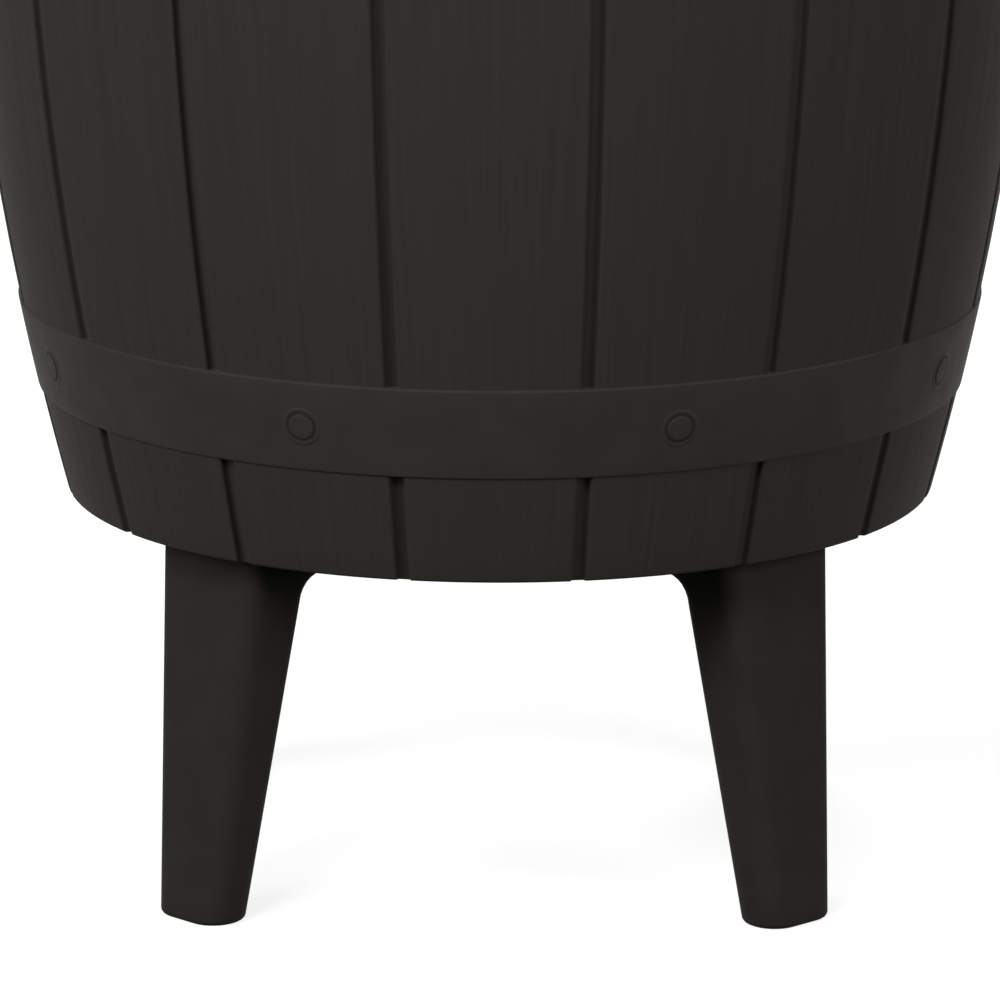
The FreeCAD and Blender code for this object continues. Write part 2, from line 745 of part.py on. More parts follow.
def cross_hole(body, name, height, radius, reach):
    """Hole right through a post or collar along X."""
    sketch = new_sketch(body, "XZ_Plane", name, up=height)
    draw_outline(sketch, [(-reach, 0), (reach, 0), (reach, radius), (-reach, radius)])
    return turned(body, sketch, cut=True, axis="H_Axis")


def cross_pin(name, height, radius, reach):
    """Plain pin along X."""
    body = new_part(name)
    sketch = new_sketch(body, "XZ_Plane", name + "_section", up=height)
    draw_outline(sketch, [(-reach, 0), (reach, 0), (reach, radius), (-reach, radius)])
    turned(body, sketch, axis="H_Axis")
    return body


def make_lift_post():
    """Drawn tube with one rolled bead above the bush."""
    radius = sizes["post_radius"]
    inner = radius - sizes["post_wall"]
    bead = radius + sizes["bead_proud"]
    bead_top = bead_bottom + sizes["bead_height"]
    body = turned_part("lift_post", [
        (inner, sizes["post_bottom"]), (radius, sizes["post_bottom"]),
        (radius, bead_bottom), (bead, (bead_bottom + bead_top) / 2), (radius, bead_top),
        (radius, sizes["post_top"]), (inner, sizes["post_top"]),
    ])
    cross_hole(body, "lock_pin_hole", lock_pin_height, sizes["lock_pin_radius"], radius + overrun)
    cross_hole(body, "post_pin_hole", sizes["post_pin_height"], sizes["post_pin_radius"], radius + overrun)
    return body


def make_post_end_cap():
    inner = sizes["post_radius"] - sizes["post_wall"]
    head = sizes["post_radius"] + sizes["bead_proud"]
    bottom = sizes["post_bottom"] - sizes["cap_head"]
    top = sizes["post_bottom"] + sizes["cap_plug"]
    return turned_part("post_end_cap", [
        (0, bottom), (head, bottom), (head, sizes["post_bottom"]),
        (inner, sizes["post_bottom"]), (inner, top), (0, top),
    ])


def make_glide_bush():
    inner = sizes["post_radius"] + sizes["bush_play"]
    outer = tube_inner - sizes["bush_play"]
    top = bush_bottom + sizes["bush_height"]
    return turned_part("glide_bush", [
        (inner, bush_bottom), (outer, bush_bottom), (outer, top), (inner, top),
    ])


# Lid: two shells, the hub flange that carries the post, and their fasteners

def make_table_top():
    """Upper shell: boarded top inside a raised rim, with a deep skirt whose top edge is bevelled in two steps."""
    radius = sizes["table_radius"]
    wall = sizes["table_wall"]
    top = sizes["table_top"]
    bend = sizes["table_round"]
    field_top = top - sizes["table_rim_rise"]
    under = field_top - wall
    rim_inner = radius - sizes["table_rim_width"]
    field_radius = rim_inner - sizes["table_rim_slope"]
    skirt = sizes["table_skirt_bottom"]
    plate_top = sizes["lid_plate_bottom"] + wall
    body = turned_part("table_top", [
        (0, under),
        (radius - wall, under),
        (radius - wall, skirt),
        (radius, skirt),
        (radius, top - bend),
        (radius - bend * sizes["bevel_turn"], top - bend * sizes["bevel_turn"]),
        (radius - bend, top),
        (rim_inner, top),
        (field_radius, field_top),
        (0, field_top),
    ])
    socket = new_sketch(body, "XY_Plane", "post_socket", lift=plate_top)
    draw_circle(socket, 0, 0, sizes["hub_collar_radius"])
    draw_circle(socket, 0, 0, sizes["post_radius"])
    padded(body, socket, under + overrun - plate_top)
    for name, circle, flats, count in (
        ("hub", sizes["hub_screw_circle"], sizes["hub_boss_flats"], sizes["hub_screw_count"]),
        ("edge", sizes["lid_screw_circle"], sizes["lid_boss_flats"], sizes["lid_screw_count"]),
    ):
        ring_of_bosses(body, name + "_bosses", circle, flats, plate_top, under + overrun - plate_top, count)
        ring_of_holes(body, name + "_boss_holes", circle, plate_top - overrun, sizes["lid_hole_depth"], count)
    boards = new_sketch(body, "XY_Plane", "board_gaps", lift=field_top)
    for step in (-2.5, -1.5, -0.5, 0.5, 1.5, 2.5):
        across = sizes["board_width"] * step
        reach = root(field_radius * field_radius - across * across) - overrun * 2
        draw_box(boards, across, 0, sizes["board_gap"], reach * 2)
    pocketed(body, boards, sizes["board_gap_depth"])
    return body


def make_lid_underside():
    """Lower shell: a plate that closes the skirt, a lip inside the liner's rim and a rib that rests on it."""
    wall = sizes["table_wall"]
    low = sizes["lid_plate_bottom"]
    lip = sizes["lid_lip_radius"]
    rest = sizes["lid_rest_radius"]
    edge = sizes["table_radius"] - wall - sizes["lid_edge_play"]
    body = turned_part("lid_underside", [
        (sizes["post_radius"], low), (lip - wall, low), (lip - wall, sizes["lid_lip_bottom"]),
        (lip, sizes["lid_lip_bottom"]), (lip, low), (rest - wall, low), (rest - wall, sizes["lid_rest"]),
        (rest, sizes["lid_rest"]), (rest, low), (edge, low),
        (edge, low + wall), (sizes["post_radius"], low + wall),
    ])
    ring_of_holes(body, "lid_hub_holes", sizes["hub_screw_circle"],
                  low - overrun, wall + overrun * 2, sizes["hub_screw_count"])
    ring_of_holes(body, "lid_edge_holes", sizes["lid_screw_circle"],
                  low - overrun, wall + overrun * 2, sizes["lid_screw_count"])
    return body


def make_post_flange():
    plate = sizes["lid_plate_bottom"] - sizes["hub_flange_thick"]
    collar = sizes["hub_collar_radius"]
    body = turned_part("post_flange", [
        (sizes["post_radius"], sizes["hub_collar_bottom"]), (collar, sizes["hub_collar_bottom"]),
        (collar, plate), (sizes["hub_flange_radius"], plate),
        (sizes["hub_flange_radius"], sizes["lid_plate_bottom"]),
        (sizes["post_radius"], sizes["lid_plate_bottom"]),
    ])
    ring_of_holes(body, "hub_flange_holes", sizes["hub_screw_circle"],
                  plate - overrun, sizes["hub_flange_thick"] + overrun * 2, sizes["hub_screw_count"])
    cross_hole(body, "collar_pin_hole", sizes["post_pin_height"], sizes["post_pin_radius"], collar + overrun)
    return body


# Drain behind the column: fitting, gasket, nut and pull-out plug

def turned_about_drain(name, corners):
    """Sub-part turned about its own axis and then set at the drain."""
    body = turned_part(name, corners)
    body.Placement = FreeCAD.Placement(FreeCAD.Vector(0, sizes["drain_back"].value, 0), FreeCAD.Rotation())
    body.setExpression("Placement.Base.y", sizes["drain_back"].text)
    return body


def make_drain():
    bore = sizes["drain_bore"]
    pipe = bore + sizes["drain_wall"]
    outlet = sizes["drain_outlet"]
    gasket_top = sizes["liner_floor"] + sizes["gasket_thick"]
    flange_top = gasket_top + sizes["drain_flange_thick"]
    flange = sizes["drain_flange_radius"]
    turned_about_drain("drain_fitting", [
        (bore, outlet), (pipe, outlet), (pipe, gasket_top), (flange, gasket_top),
        (flange, flange_top), (bore, flange_top),
    ])
    gasket = flange - sizes["gasket_inset"]
    turned_about_drain("drain_gasket", [
        (pipe, sizes["liner_floor"]), (gasket, sizes["liner_floor"]), (gasket, gasket_top), (pipe, gasket_top),
    ])
    nut = new_part("drain_nut")
    hexagon = new_sketch(nut, "XY_Plane", "nut_hexagon",
                         lift=sizes["liner_floor"] - sizes["liner_wall"] - sizes["nut_height"])
    draw_hexagon(hexagon, 0, 0, sizes["nut_flats"])
    draw_circle(hexagon, 0, 0, pipe)
    padded(nut, hexagon, sizes["nut_height"])
    nut.Placement = FreeCAD.Placement(FreeCAD.Vector(0, sizes["drain_back"].value, 0), FreeCAD.Rotation())
    nut.setExpression("Placement.Base.y", sizes["drain_back"].text)

    stem = bore - sizes["plug_play"]
    head = sizes["plug_head_radius"]
    head_top = outlet - sizes["plug_play"]
    head_bottom = head_top - sizes["plug_head_thick"]
    tip = head_top + sizes["plug_length"]
    plug = turned_about_drain("drain_plug", [
        (0, head_bottom), (head, head_bottom), (head, head_top),
        (stem, head_top), (stem - sizes["plug_taper"], tip), (0, tip),
    ])
    tab = new_sketch(plug, "XZ_Plane", "plug_tab", lift=-sizes["plug_tab_thick"] / 2)
    half_tab = sizes["plug_tab_width"] / 2
    round_middle = head_bottom - sizes["plug_tab_length"] + half_tab
    draw_outline(tab, [
        (half_tab, head_bottom + overrun), (-half_tab, head_bottom + overrun),
        (-half_tab, round_middle, half_tab * 1.0001), (half_tab, round_middle),
    ])
    draw_circle(tab, 0, round_middle, half_tab / 2)
    padded(plug, tab, sizes["plug_tab_thick"])


# Assembly

make_outer_barrel()
for leg_name, quarter in (("leg_front_right", -1), ("leg_rear_right", 1), ("leg_rear_left", 3), ("leg_front_left", 5)):
    make_leg(leg_name, sizes["leg_azimuth"] * quarter)
make_leg_screws()
make_inner_bucket()
screw_ring("rim_screws", sizes["rim_screw_circle"], liner_rim,
           sizes["rim_screw_length"], sizes["rim_screw_count"])
make_guide_tube()
screw_ring("tube_screws", sizes["foot_screw_circle"], tube_bottom + sizes["foot_thick"],
           sizes["foot_screw_length"], sizes["foot_screw_count"])
make_guide_collar()
make_column_seal()
make_lift_post()
make_post_end_cap()
make_glide_bush()
cross_pin("lock_pin", lock_pin_height, sizes["lock_pin_radius"], pin_reach)
make_table_top()
make_lid_underside()
screw_ring("lid_screws", sizes["lid_screw_circle"], sizes["lid_plate_bottom"],
           sizes["lid_screw_length"], sizes["lid_screw_count"], tip_up=True)
make_post_flange()
screw_ring("flange_screws", sizes["hub_screw_circle"], sizes["lid_plate_bottom"] - sizes["hub_flange_thick"],
           sizes["hub_screw_length"], sizes["hub_screw_count"], tip_up=True)
cross_pin("post_pin", sizes["post_pin_height"], sizes["post_pin_radius"], sizes["hub_collar_radius"] - slip)
make_drain()

doc.recompute()
for item in doc.Objects:
    if "Invalid" in item.State or "Error" in item.State:
        raise RuntimeError(f"{item.Label} failed: {item.State}")
for part in parts:
    if part.Shape.isNull() or not part.Shape.isValid() or not part.Shape.Solids:
        raise RuntimeError(f"{part.Label} has no valid solid")

os.makedirs("parts", exist_ok=True)
for part in parts:
    part.Shape.exportStep(f"parts/{part.Label}.step")
    print(f"{part.Label}: {len(part.Shape.Solids)} solid, {part.Shape.Volume / 1000:.1f} cm3")
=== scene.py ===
import json
import math

import bpy
import numpy as np
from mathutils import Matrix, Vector


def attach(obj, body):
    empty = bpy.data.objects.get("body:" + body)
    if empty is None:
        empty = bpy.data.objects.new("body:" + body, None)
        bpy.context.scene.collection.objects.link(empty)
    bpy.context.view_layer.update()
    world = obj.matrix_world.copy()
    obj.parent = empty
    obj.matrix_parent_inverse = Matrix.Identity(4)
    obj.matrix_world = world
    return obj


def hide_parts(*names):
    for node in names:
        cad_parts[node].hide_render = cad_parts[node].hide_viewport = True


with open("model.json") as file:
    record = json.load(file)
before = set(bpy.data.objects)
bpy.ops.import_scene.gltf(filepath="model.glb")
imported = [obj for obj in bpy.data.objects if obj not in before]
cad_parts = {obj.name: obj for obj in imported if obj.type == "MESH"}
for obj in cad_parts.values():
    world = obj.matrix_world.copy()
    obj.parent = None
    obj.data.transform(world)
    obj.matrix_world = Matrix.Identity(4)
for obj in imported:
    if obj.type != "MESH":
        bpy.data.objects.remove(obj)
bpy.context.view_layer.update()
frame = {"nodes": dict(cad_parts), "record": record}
nodes = frame["nodes"]

# The view of the photograph: straight from the front through a long lens a little above the table, framed on
# the barrel's lower half and the legs. White paper lies under the table, a little less bright near it than
# far away, and soft lamps stand in front, at both sides and behind.
VIEW_DISTANCE = 3.8
VIEW_ELEVATION = math.radians(13.58)
VIEW_AZIMUTH = math.radians(1.2)
VIEW_HEIGHT = 0.1474
VIEW_WIDTH = 0.42
VIEW_FAR = 50
SENSOR_WIDTH = 36

target = Vector((0, 0, VIEW_HEIGHT))
towards_camera = Vector((
    math.sin(VIEW_AZIMUTH) * math.cos(VIEW_ELEVATION),
    -math.cos(VIEW_AZIMUTH) * math.cos(VIEW_ELEVATION),
    math.sin(VIEW_ELEVATION),
))
camera = bpy.data.objects.new("camera", bpy.data.cameras.new("camera"))
camera.data.sensor_width = SENSOR_WIDTH
camera.data.lens = SENSOR_WIDTH * VIEW_DISTANCE / VIEW_WIDTH
camera.data.clip_end = VIEW_FAR
camera.location = target + towards_camera * VIEW_DISTANCE
camera.rotation_mode = "QUATERNION"
camera.rotation_quaternion = (-towards_camera).to_track_quat("-Z", "Y")
bpy.context.scene.collection.objects.link(camera)
bpy.context.scene.camera = camera
bpy.context.scene.view_settings.view_transform = "Standard"


def new_material(name):
    """Material with its node tree and its shader."""
    material = bpy.data.materials.new(name)
    material.use_nodes = True
    return material, material.node_tree, material.node_tree.nodes["Principled BSDF"]


def add_node(tree, kind, sockets=None, **values):
    """Node with its properties set by name and its inputs set or linked by socket name or number."""
    node = tree.nodes.new(kind)
    for word, value in values.items():
        setattr(node, word, value)
    for socket, value in (sockets or {}).items():
        if isinstance(value, bpy.types.NodeSocket):
            tree.links.new(value, node.inputs[socket])
        else:
            node.inputs[socket].default_value = value
    return node


def worked_out(tree, kind, operation, first, second):
    """Outcome of one operation on two numbers or two vectors."""
    return add_node(tree, "ShaderNode" + kind, {0: first, 1: second}, operation=operation).outputs[0]


def carried(tree, value, start, end):
    """Value carried in proportion from one range of numbers to another, and held at the ends."""
    return add_node(tree, "ShaderNodeMapRange", {
        "Value": value, "From Min": start[0], "From Max": start[1],
        "To Min": end[0], "To Max": end[1]}).outputs["Result"]


def seen_background(tree):
    """1 for rays that see the background directly, in gloss or through glass, else 0."""
    path = add_node(tree, "ShaderNodeLightPath")
    seen = path.outputs["Is Camera Ray"]
    for ray in ("Is Glossy Ray", "Is Transmission Ray"):
        seen = worked_out(tree, "Math", "MAXIMUM", seen, path.outputs[ray])
    return seen


AMBIENT_LEVEL = 0.1
WHITE = (1, 1, 1, 1)

world = bpy.data.worlds.new("studio")
world.use_nodes = True
bpy.context.scene.world = world
sky = world.node_tree
backdrop = sky.nodes["Background"]
backdrop.inputs["Color"].default_value = WHITE
strength = add_node(sky, "ShaderNodeMix", {
    "Factor": seen_background(sky), "A": AMBIENT_LEVEL, "B": 1}, data_type="FLOAT")
sky.links.new(strength.outputs["Result"], backdrop.inputs["Strength"])

FLOOR_REACH = 30
FLOOR_SEEN = (0.42, 0.42, 0.42, 1)
FLOOR_LIT = (0.02, 0.02, 0.02, 1)
FLOOR_FADE = (1.1, 2.6)
FLOOR_GLOW = (0.8, 1)

floor_mesh = bpy.data.meshes.new("floor")
floor_corners = [(x * FLOOR_REACH, y * FLOOR_REACH, 0) for x, y in ((-1, -1), (1, -1), (1, 1), (-1, 1))]
floor_mesh.from_pydata(floor_corners, [], [(0, 1, 2, 3)])
floor = bpy.data.objects.new("floor", floor_mesh)
bpy.context.scene.collection.objects.link(floor)
floor_material, tree, shader = new_material("white_paper")
seen = seen_background(tree)
colour = add_node(tree, "ShaderNodeMix", {"Factor": seen, "A": FLOOR_LIT, "B": FLOOR_SEEN}, data_type="RGBA")
place = add_node(tree, "ShaderNodeTexCoord")
away = add_node(tree, "ShaderNodeVectorMath", {0: place.outputs["Object"]}, operation="LENGTH")
fade = carried(tree, away.outputs["Value"], FLOOR_FADE, FLOOR_GLOW)
glow = worked_out(tree, "Math", "MULTIPLY", seen, fade)
tree.links.new(colour.outputs["Result"], shader.inputs["Base Color"])
tree.links.new(glow, shader.inputs["Emission Strength"])
shader.inputs["Emission Color"].default_value = WHITE
shader.inputs["Roughness"].default_value = 1
shader.inputs["Specular IOR Level"].default_value = 0
floor.data.materials.append(floor_material)

# Each lamp's place and width in metres and its power in watts.
LAMPS = {
    "key": ((-1.1, -2.6, 2.8), 1.2, 60),
    "left": ((-2.9, -1.6, 1.4), 1.6, 51),
    "right": ((2.7, -2.1, 1.3), 1.6, 50),
    "back": ((0.2, 3.2, 1.9), 1.6, 60),
}
LAMP_AIM = Vector((0, 0, 0.25))
for lamp_name, (place, width, power) in LAMPS.items():
    lamp = bpy.data.objects.new(lamp_name, bpy.data.lights.new(lamp_name, "AREA"))
    lamp.data.size = width
    lamp.data.energy = power
    lamp.location = place
    lamp.rotation_mode = "QUATERNION"
    lamp.rotation_quaternion = (LAMP_AIM - lamp.location).to_track_quat("-Z", "Y")
    bpy.context.scene.collection.objects.link(lamp)


# Dark resin, the material of the barrel, the legs and the table top: one graphite-brown plastic, moulded with
# a fine stipple and, on staves and boards, with a wood grain that runs along them. Hoops and rims are
# smoother and a little glossier. The legs take a copy of it darkened to about three quarters: painted shade.
RESIN_COLOUR = (0.0421, 0.0393, 0.0343, 1)
# The legs' copy of the resin, darkened to about three quarters: painted shade on the legs.
LEG_PAINTED_SHADE_COLOUR = (0.0309, 0.0289, 0.0252, 1)
RESIN_ROUGHNESS = 0.6
RESIN_GLOSS = 0.015
SMOOTH_GLOSS = 0.03
STIPPLE_SCALE = 900
STIPPLE_SHARE = 0.12
WAVE_SCALE = 14
WAVE_REACH = (0.006, 0, 0)
STREAK_RANGE = (0.3, 0.7)
TONE_RANGE = (0.93, 1.07)
ROUGHER_RANGE = (0.05, -0.03)


def group_of(name, inputs, outputs):
    """Empty node group with named sockets: (name, socket type, default)."""
    group = bpy.data.node_groups.new(name, "ShaderNodeTree")
    for socket, kind, default in inputs:
        made = group.interface.new_socket(name=socket, in_out="INPUT", socket_type=kind)
        if default is not None:
            made.default_value = default
    for socket, kind in outputs:
        group.interface.new_socket(name=socket, in_out="OUTPUT", socket_type=kind)
    return group, group.nodes.new("NodeGroupInput"), group.nodes.new("NodeGroupOutput")


def make_grain_group():
    """Streaks along the second coordinate: noise stretched by Streak and waved a little across.

    Height is the streaks plus a share of a finer noise, and Tone and Roughness follow the streaks alone.
    """
    group, inside, out = group_of(
        "moulded_grain",
        [("Vector", "NodeSocketVector", None), ("Streak", "NodeSocketVector", (420, 8, 8)),
         ("Stipple", "NodeSocketFloat", STIPPLE_SCALE)],
        [("Height", "NodeSocketFloat"), ("Tone", "NodeSocketFloat"), ("Roughness", "NodeSocketFloat")],
    )
    place, streak, stipple = (inside.outputs[socket] for socket in ("Vector", "Streak", "Stipple"))
    wave = add_node(group, "ShaderNodeTexNoise", {"Vector": place, "Scale": WAVE_SCALE, "Detail": 1})
    centred = worked_out(group, "VectorMath", "SUBTRACT", wave.outputs["Color"], (0.5, 0.5, 0.5))
    shift = worked_out(group, "VectorMath", "MULTIPLY", centred, WAVE_REACH)
    waved = worked_out(group, "VectorMath", "ADD", place, shift)
    stretched = worked_out(group, "VectorMath", "MULTIPLY", waved, streak)
    streaks = add_node(group, "ShaderNodeTexNoise", {
        "Vector": stretched, "Scale": 1, "Detail": 4, "Roughness": 0.6}).outputs["Fac"]
    fine = add_node(group, "ShaderNodeTexNoise", {"Vector": place, "Scale": stipple, "Detail": 1})
    small = worked_out(group, "Math", "MULTIPLY", fine.outputs["Fac"], STIPPLE_SHARE)
    group.links.new(worked_out(group, "Math", "ADD", streaks, small), out.inputs["Height"])
    group.links.new(carried(group, streaks, STREAK_RANGE, TONE_RANGE), out.inputs["Tone"])
    group.links.new(carried(group, streaks, STREAK_RANGE, ROUGHER_RANGE), out.inputs["Roughness"])
    return group


moulded_grain = make_grain_group()


def resin(name, colour=RESIN_COLOUR, roughness=RESIN_ROUGHNESS, streak=(60, 60, 60), bump=0.1, depth=0.0002,
          coordinates="Object", specular=RESIN_GLOSS, metallic=0.0):
    """Moulded surface: the colour times the grain's tone, and the grain's height as bump."""
    material, tree, shader = new_material(name)
    place = add_node(tree, "ShaderNodeTexCoord")
    grain = add_node(tree, "ShaderNodeGroup", {
        "Vector": place.outputs[coordinates], "Streak": streak}, node_tree=moulded_grain)
    toned = add_node(tree, "ShaderNodeVectorMath", {
        0: colour[:3], "Scale": grain.outputs["Tone"]}, operation="SCALE")
    rough = worked_out(tree, "Math", "ADD", grain.outputs["Roughness"], roughness)
    relief = add_node(tree, "ShaderNodeBump", {
        "Strength": bump, "Distance": depth, "Height": grain.outputs["Height"]})
    tree.links.new(toned.outputs[0], shader.inputs["Base Color"])
    tree.links.new(rough, shader.inputs["Roughness"])
    tree.links.new(relief.outputs["Normal"], shader.inputs["Normal"])
    shader.inputs["Specular IOR Level"].default_value = specular
    shader.inputs["Metallic"].default_value = metallic
    return material


resin_staves = resin("resin_staves", streak=(420, 7, 1), coordinates="UV", bump=0.38, depth=0.0004)
resin_smooth = resin("resin_smooth", specular=SMOOTH_GLOSS)
# The legs' resin is the darkened copy: painted shade.
resin_legs_painted_shade = resin("resin_legs_painted_shade", colour=LEG_PAINTED_SHADE_COLOUR)
resin_boards = resin("resin_boards", streak=(330, 7, 1), bump=0.5, depth=0.0004)


# Outer barrel: one moulded shell of sixteen staves on a long bow, parted by U-shaped gaps, with two flat
# hoops that stand a little proud and close the gaps where they pass, a rounded bottom rim and a flat floor
# with the drain's hole. Sizes from here on are in millimetres.
MILLIMETRE = 0.001
BARREL_BOTTOM = 156.6
BARREL_TOP = 527
WIDEST_RADIUS = 226.5
WIDEST_HEIGHT = 505
BOW_RADIUS = 1350
BARREL_WALL = 5
BARREL_FLOOR = 4
RIM_ROUND = 2
RIM_ROWS = 8
TOP_EDGE = [(-0.3, -0.3), (-1, 0)]
FLOOR_RADII = (40, 90, 130, 160)
INNER_FLOOR_RADII = (120, 60)
INNER_WALL_ROWS = 9
STAVES = 16
STAVE_COLUMNS = 9
STAVE_ROWS = (5, 10, 6)
GAP_DEPTH = 3
# The gap's section: distance from its middle, and the share of its depth there.
GAP_SECTION = [(0, 1), (1.2, 1), (2.1, 0.99), (2.6, 0.9), (2.85, 0.6), (3.0, 0.25), (3.25, 0.06), (3.8, 0),
               (5.0, 0)]
GAP_LEAST_RADIUS = 160
HOOP_BOTTOMS = (202.3, 444.1)
HOOP_WIDTH = 37.6
HOOP_PROUD = 0.85
HOOP_ROWS = 6
# The hoop's edge: distance in from the edge, and the share of its rise there.
HOOP_EDGE = [(-0.5, 0), (-0.12, 0), (0, 0.35), (0.12, 0.72), (0.35, 0.93), (0.8, 1)]
DRAIN_BACK = 110
DRAIN_HOLE_RADIUS = 14
DRILL_PAST = 5
DRILL_SIDES = 48


def bow(height):
    """Radius of the staves' outer face: an arc of the bow's radius, widest at the widest height."""
    return WIDEST_RADIUS - BOW_RADIUS + np.sqrt(BOW_RADIUS ** 2 - (WIDEST_HEIGHT - height) ** 2)


def new_piece(name, points, faces, materials, loop_coordinates=None):
    """Smooth mesh from points in millimetres; the sign of its volume turns its faces to point outwards."""
    points = np.asarray(points) * MILLIMETRE
    faces = [np.asarray(face) for face in faces]
    volume = sum(
        np.einsum("ij,ij->", points[face[:, 0]], np.cross(points[face[:, k]], points[face[:, k + 1]]))
        for face in faces for k in range(1, face.shape[1] - 1))
    if volume < 0:
        faces = [face[:, ::-1] for face in faces]
        if loop_coordinates is not None:
            loop_coordinates = [part[:, ::-1] for part in loop_coordinates]
    mesh = bpy.data.meshes.new(name)
    mesh.from_pydata(points.tolist(), [], [row for face in faces for row in face.tolist()])
    mesh.polygons.foreach_set("use_smooth", np.ones(len(mesh.polygons), bool))
    if loop_coordinates is not None:
        layer = mesh.uv_layers.new(name="along")
        layer.data.foreach_set("uv", np.concatenate([part.reshape(-1) for part in loop_coordinates]))
    mesh.update()
    piece = bpy.data.objects.new(name, mesh)
    bpy.context.scene.collection.objects.link(piece)
    for material in materials:
        mesh.materials.append(material)
    return piece


def skin_faces(rows, columns, first=0):
    """Faces of a closed grid: four-sided between rows, and a fan to a middle point at each end."""
    here = np.arange(columns)
    there = (here + 1) % columns
    row = np.arange(rows - 1)[:, None] * columns
    above = row + columns
    quads = np.stack([row + here, row + there, above + there, above + here], -1).reshape(-1, 4)
    low, high = rows * columns, rows * columns + 1
    last = (rows - 1) * columns
    fans = np.concatenate([
        np.stack([np.full(columns, low), there, here], -1),
        np.stack([np.full(columns, high), last + here, last + there], -1),
    ])
    return quads + first, fans + first


def skin(name, rings, materials, along=None):
    """Closed surface through rings of points.

    `along` gives each point's two coordinates for the grain, with one more column that closes the ring.
    """
    rows, columns, _ = rings.shape
    middles = np.stack([rings[0].mean(0), rings[-1].mean(0)])
    points = np.concatenate([rings.reshape(-1, 3), middles])
    quads, fans = skin_faces(rows, columns)
    if along is None:
        return new_piece(name, points, [quads, fans], materials)
    here, there = along[:, :-1], along[:, 1:]
    corners = np.stack([here[:-1], there[:-1], there[1:], here[1:]], 2).reshape(-1, 4, 2)
    tips = np.concatenate([
        np.stack([here[0], there[0], here[0]], 1),
        np.stack([here[-1], here[-1], there[-1]], 1),
    ])
    return new_piece(name, points, [quads, fans], materials, [corners, tips])


def stave_columns():
    """Columns round the barrel, as an angle, a width that is divided by the radius, and the gap's depth.

    Beside each gap the columns keep their distance from its middle; between gaps they are spread evenly.
    """
    beside, depth = np.array(GAP_SECTION).T
    pitch = 2 * math.pi / STAVES
    spread = np.linspace(0, 1, STAVE_COLUMNS)[1:-1]
    angle = np.concatenate([np.zeros(len(beside)), spread * pitch, np.full(len(beside) - 1, pitch)])
    width = np.concatenate([beside, beside[-1] * (1 - 2 * spread), -beside[:0:-1]])
    cut = np.concatenate([depth, np.zeros(len(spread)), depth[:0:-1]])
    starts = pitch * (np.arange(STAVES) + 0.5)
    return (starts[:, None] + angle).reshape(-1), np.tile(width, STAVES), np.tile(cut, STAVES)


def stave_rows(heights):
    """Rows of the barrel's section on the staves' outer face."""
    return [(bow(height), height, 1, 1) for height in heights]


def barrel_profile():
    """Rows down the barrel's section: radius, height, whether gaps cut them, and whether they are on a stave.

    They go from under the floor round the rim's arc and up the bow, out and in again at each hoop, over the
    top edge, and down inside at the wall's thickness to the floor.
    """
    lean = math.asin((WIDEST_HEIGHT - BARREL_BOTTOM - RIM_ROUND) / BOW_RADIUS)
    rim_top = BARREL_BOTTOM + RIM_ROUND * (1 - math.sin(lean))
    centre = bow(rim_top) - RIM_ROUND * math.cos(lean)
    rows = [(radius, BARREL_BOTTOM, 0, 0) for radius in FLOOR_RADII]
    rows += [(centre + RIM_ROUND * math.cos(turn), BARREL_BOTTOM + RIM_ROUND * (1 + math.sin(turn)), 1, 1)
             for turn in np.radians(np.linspace(-90, -math.degrees(lean), RIM_ROWS))]
    outside, inside = HOOP_EDGE[0][0], HOOP_EDGE[-1][0]
    low = rim_top
    for bottom, count in zip(HOOP_BOTTOMS, STAVE_ROWS):
        top = bottom + HOOP_WIDTH
        rows += stave_rows(np.linspace(low, bottom + outside, count)[1:-1])
        edge = [(bottom + shift, part) for shift, part in HOOP_EDGE]
        edge += [(height, 1) for height in np.linspace(bottom + inside, top - inside, HOOP_ROWS)[1:-1]]
        edge += [(top - shift, part) for shift, part in HOOP_EDGE[::-1]]
        rows += [(bow(height) + HOOP_PROUD * part, height, part == 0, part == 0) for height, part in edge]
        low = top - outside
    rows += stave_rows(np.linspace(low, BARREL_TOP - 1, STAVE_ROWS[-1])[1:])
    rows += [(bow(BARREL_TOP) + inset, BARREL_TOP + drop, 1, 1) for inset, drop in TOP_EDGE]
    floor_top = BARREL_BOTTOM + BARREL_FLOOR
    rows += [(bow(height) - BARREL_WALL, height, 0, 0)
             for height in np.linspace(BARREL_TOP, floor_top, INNER_WALL_ROWS)]
    rows += [(radius, floor_top, 0, 0) for radius in INNER_FLOOR_RADII]
    return np.array(rows, float)


def make_barrel():
    """The section carried round the axis: in a gap, a point is drawn in to the bow less the gap's depth."""
    radius, height, gapped, staved = barrel_profile().T
    angle, width, cut = stave_columns()
    gap_floor = bow(height)[:, None] - GAP_DEPTH * cut
    reach = np.where(gapped[:, None] > 0, np.minimum(radius[:, None], gap_floor), radius[:, None])
    turn = angle + width / np.maximum(radius, GAP_LEAST_RADIUS)[:, None]
    level = np.broadcast_to(height[:, None], turn.shape)
    rings = np.stack([reach * np.cos(turn), reach * np.sin(turn), level], -1)
    round_way = np.concatenate([turn, turn[:, :1] + 2 * math.pi], 1) * WIDEST_RADIUS * MILLIMETRE
    along = np.stack([round_way, np.broadcast_to(height[:, None] * MILLIMETRE, round_way.shape)], -1)
    barrel = skin("barrel_shell", rings, [resin_staves, resin_smooth], along)
    between = np.maximum(1 - staved[:-1] * staved[1:], 0).astype(int)
    smooth_rows = np.concatenate([np.repeat(between, len(angle)), np.ones(2 * len(angle), int)])
    barrel.data.polygons.foreach_set("material_index", smooth_rows)
    return barrel


